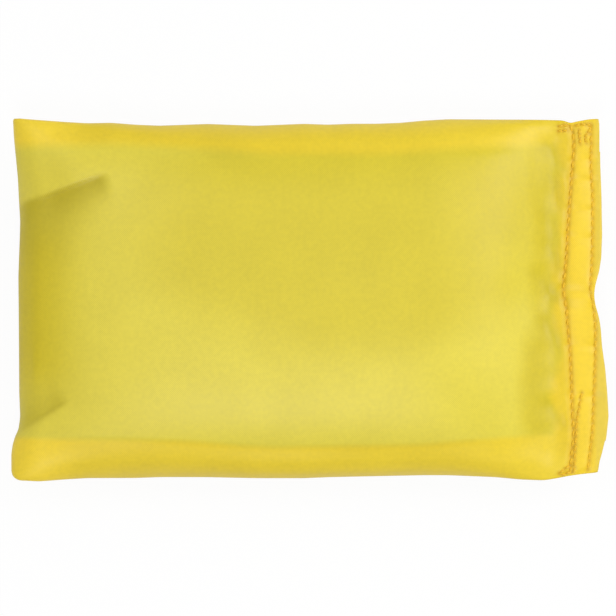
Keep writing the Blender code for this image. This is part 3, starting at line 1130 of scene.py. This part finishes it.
# Painted shade: the far corner by the hem is darkened in colour only
far_corner_shade = (at_x + wander).rise(26 * mm, 40 * mm) * (at_y + wander).rise(6 * mm, 24 * mm) * 0.75
over_flap = (at_x + puffs).rise(51.2 * mm, 54.2 * mm)
in_ears = (wander - at_x).rise(46 * mm, 56 * mm)
in_hem = (at_x + wander * 0.3).rise(54.6 * mm, 56.4 * mm)
rim_shade_share = (at_x + wander * 0.3).rise(60.4 * mm, 61.6 * mm)
row_mark, needle_shade = kept_mark(start, "row_mark"), kept_mark(start, "needle_shade")

colour = pale_and_sheen.mix(without_painted_sheen, pale_filling_and_sheen)
# Darker where no filling lies behind the cloth, with painted shade there and at the far corner
colour = (hem_side_empty_and_shade + left_end_empty_and_shade + far_corner_shade).mix(colour, empty_cloth_and_shade)
colour = (in_near_allowance + in_far_allowance).mix(colour, in_ears.mix(over_allowance, over_ears))
# Beyond the outer row the hem is darker: painted shade on its rolled rim
colour = in_hem.mix(over_flap.mix(colour, over_turn_in), rim_shade_share.mix(between_rows, hem_rim_shade))
# Painted shade in the hollows under the creases and puckers
colour = kept_mark(start, "crease_shade").mix(colour, crease_shade_colour)
# Painted shadow in every needle hole, over the rows of stitches
colour = needle_shade.mix(row_mark.mix(colour, stitched_down), needle_hole_shade)
print("the colour is built from", len(nylon.node_tree.nodes), "nodes")

# %% Weave the nylon
thread_spacing = 0.42 * mm
flat = start.node("ShaderNodeUVMap", {"uv_map": "flat_cloth"}, {})
turns = 2 * math.pi / thread_spacing
weave = (flat.axis(0) * turns).wave() * (flat.axis(1) * turns).wave()
slubs = noise(start, flat, 900, 3.0) - 0.5
lumps = noise(start, place, 110) - 0.5
brightness = 1 + weave * 0.11 + slubs * 0.16 + slow * 0.06 + lumps * 0.12
feed(nylon_shader, "Base Color", brightness.shade(colour))
feed(nylon_shader, "Roughness", 0.44 + weave * 0.03 + slubs * 0.12)
feed(nylon_shader, "Normal", bump(start, 0.22, 0.05 * mm, weave * 0.5 + slubs * 0.9))
print("the nylon has", len(nylon.node_tree.nodes), "nodes")

# %% [markdown]
# ## The stitches
#
# The hem is sewn with a lockstitch. From above you see the needle thread: short bars, each leaning the
# same way, that dip into the cloth at every needle point. From below the bobbin thread shows the same.
# Each thread is one smooth curve through points that are dropped onto the finished cloth, so it follows
# the pads and the buckle of the hem, and it is turned into a mesh with a small round section.

# %% Twist the thread
ply_length = 0.3 * mm
thread_colour = (0.84, 0.52, 0.012, 1)

thread, thread_shader, start = new_material("orange_thread", Roughness=0.55, Sheen_Weight=0.1)
place = object_place(start)
plies = ((place.axis(0) + place.axis(1)) * (2 * math.pi / ply_length)).wave()
fuzz = noise(start, place, 2500, 3.0) - 0.5
feed(thread_shader, "Base Color", (1 + plies * 0.08 + fuzz * 0.2).shade(thread_colour))
feed(thread_shader, "Normal", bump(start, 0.5, 0.04 * mm, plies + fuzz))
print("the thread has", len(thread.node_tree.nodes), "nodes")

# %% Lay the threads on the cloth
thread_diameter = 0.5 * mm
dip = 0.75 * mm
slant = 0.05 * mm
ray_height = 60 * mm
stitch_profile = (
    (0.0, -dip, 0),
    (0.17, -0.35 * mm, 0.6),
    (0.32, 0.04 * mm, 1),
    (0.5, 0.14 * mm, 0),
    (0.68, 0.04 * mm, -1),
    (0.83, -0.35 * mm, -0.6),
)


def cloth_level(x, y, side):
    """The height of the outer face of the cloth at a place, on the top or on the underside."""
    hit = surface.ray_cast(Vector((x, y, side * ray_height)), Vector((0, 0, -side)))[0]
    return None if hit is None else hit.z


def thread_points(line, side):
    """Points along a thread: down into each needle point, and up over the cloth between two of them."""
    points = []
    for start, end in zip(line, line[1:]):
        run = (end - start) / np.hypot(*(end - start))
        across_run = np.array([-run[1], run[0]]) * side
        for share, lift, lean in stitch_profile:
            spot = start + (end - start) * share + across_run * lean * slant
            level = cloth_level(*spot, side)
            if level is not None:
                points.append((*spot, level + side * lift))
    return points


def thread_piece(name, lines, side):
    """One thread, or the few short ones of a group, as a mesh."""
    curve = bpy.data.curves.new(name, "CURVE")
    curve.dimensions = "3D"
    curve.bevel_depth = thread_diameter / 2
    curve.bevel_resolution = 2
    curve.use_fill_caps = True
    for line in lines:
        points = thread_points(line, side)
        spline = curve.splines.new("NURBS")
        spline.points.add(len(points) - 1)
        for knot, point in zip(spline.points, points):
            knot.co = (*point, 1)
        spline.order_u = 3
        spline.use_endpoint_u = True
        spline.resolution_u = 2
    guide = add_object(name + "_curve", curve)
    mesh = bpy.data.meshes.new_from_object(guide.evaluated_get(bpy.context.evaluated_depsgraph_get()))
    bpy.data.objects.remove(guide)
    mesh.materials.clear()
    mesh.materials.append(thread)
    mesh.shade_smooth()
    return add_object(name, mesh)


for row_name, lines in stitch_rows.items():
    for kind, side in (("needle", 1), ("bobbin", -1)):
        sewn = thread_piece(f"{row_name}_{kind}_stitches", lines, side)
        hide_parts(f"{row_name}_{kind}_thread")
        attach(sewn, "root")
        print(sewn.name, len(sewn.data.polygons), "faces")

# %% [markdown]
# The side seams are inside the bag, between the panel and the allowances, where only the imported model's
# own threads lie. They stay as they are and take the same thread.

# %% Finish the hidden seams
for name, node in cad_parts.items():
    if "side_seam" in name:
        node.data.materials.clear()
        node.data.materials.append(thread)
        print(name, "keeps its shape")

# %% [markdown]
# ## The pellets
#
# The filling is loose plastic pellets of about 3 mm. Nobody sees them while the bag is shut, but they
# are what it is filled with. Packing them by simulation would take minutes, so they are set out in the
# close packing of stacked balls, nudged and turned at random, and every one that would touch the cloth
# is left out.

# %% Fill the bag
pellet_diameter = 3.0 * mm
pellet_step = 3.15 * mm
pellet_nudge = 0.06 * mm
pellet_gap = 0.1 * mm
pellet_flatness = 0.8
full_turn = 6.28

chance = random.Random(11)
fill_low, fill_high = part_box("pellet_fill")
row_step = pellet_step * math.sqrt(3) / 2
layer_step = pellet_step * math.sqrt(2 / 3)


def has_room(spot):
    """Whether a pellet here is inside the bag and clear of the cloth."""
    if surface.find_nearest(spot)[3] < pellet_diameter / 2 + pellet_gap:
        return False
    return all(surface.ray_cast(spot, Vector((0, 0, turn)))[0] is not None for turn in (1, -1))


def line_of_pellets(start_x, y, z):
    """The pellets along one line of the packing."""
    shape = bmesh.new()
    for step in range(int((fill_high.x - fill_low.x) / pellet_step) + 1):
        nudge = [chance.uniform(-pellet_nudge, pellet_nudge) for _ in range(3)]
        spot = Vector((start_x + step * pellet_step, y, z)) + Vector(nudge)
        axis = Vector((chance.random(), chance.random(), 1))
        turn = Matrix.Rotation(chance.uniform(0, full_turn), 4, axis)
        size = Matrix.Diagonal((1, 1, chance.uniform(pellet_flatness, 1), 1))
        if has_room(spot):
            where = Matrix.Translation(spot) @ turn @ size
            radius = pellet_diameter / 2
            bmesh.ops.create_icosphere(shape, subdivisions=1, radius=radius, matrix=where)
    return mesh_of("pellet_line", shape)


pellet_shape = bmesh.new()
layer_count = int((fill_high.z - fill_low.z) / layer_step) + 1
line_count = int((fill_high.y - fill_low.y) / row_step) + 1
for layer in range(layer_count):
    for line in range(line_count):
        start_x = fill_low.x + (line % 2 + layer % 2) / 2 * pellet_step
        start_y = fill_low.y + line * row_step + (layer % 2) * row_step / 3
        start_z = fill_low.z + pellet_diameter / 2 + layer * layer_step
        line_mesh = line_of_pellets(start_x, start_y, start_z)
        pellet_shape.from_mesh(line_mesh)
        bpy.data.meshes.remove(line_mesh)
print(len(pellet_shape.verts) // 12, "pellets")

# %% Give the pellets their plastic
pellet_colour = (0.74, 0.73, 0.68, 1)

plastic, plastic_shader, start = new_material("pellet_plastic")
cloudy = noise(start, object_place(start), 350) - 0.5
feed(plastic_shader, "Base Color", (1 + cloudy * 0.25).shade(pellet_colour))
feed(plastic_shader, "Roughness", 0.45 + cloudy * 0.2)
pellets = add_piece("pellets", pellet_shape, plastic)
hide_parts("pellet_fill")
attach(pellets, "root")
print("the plastic has", len(plastic.node_tree.nodes), "nodes")
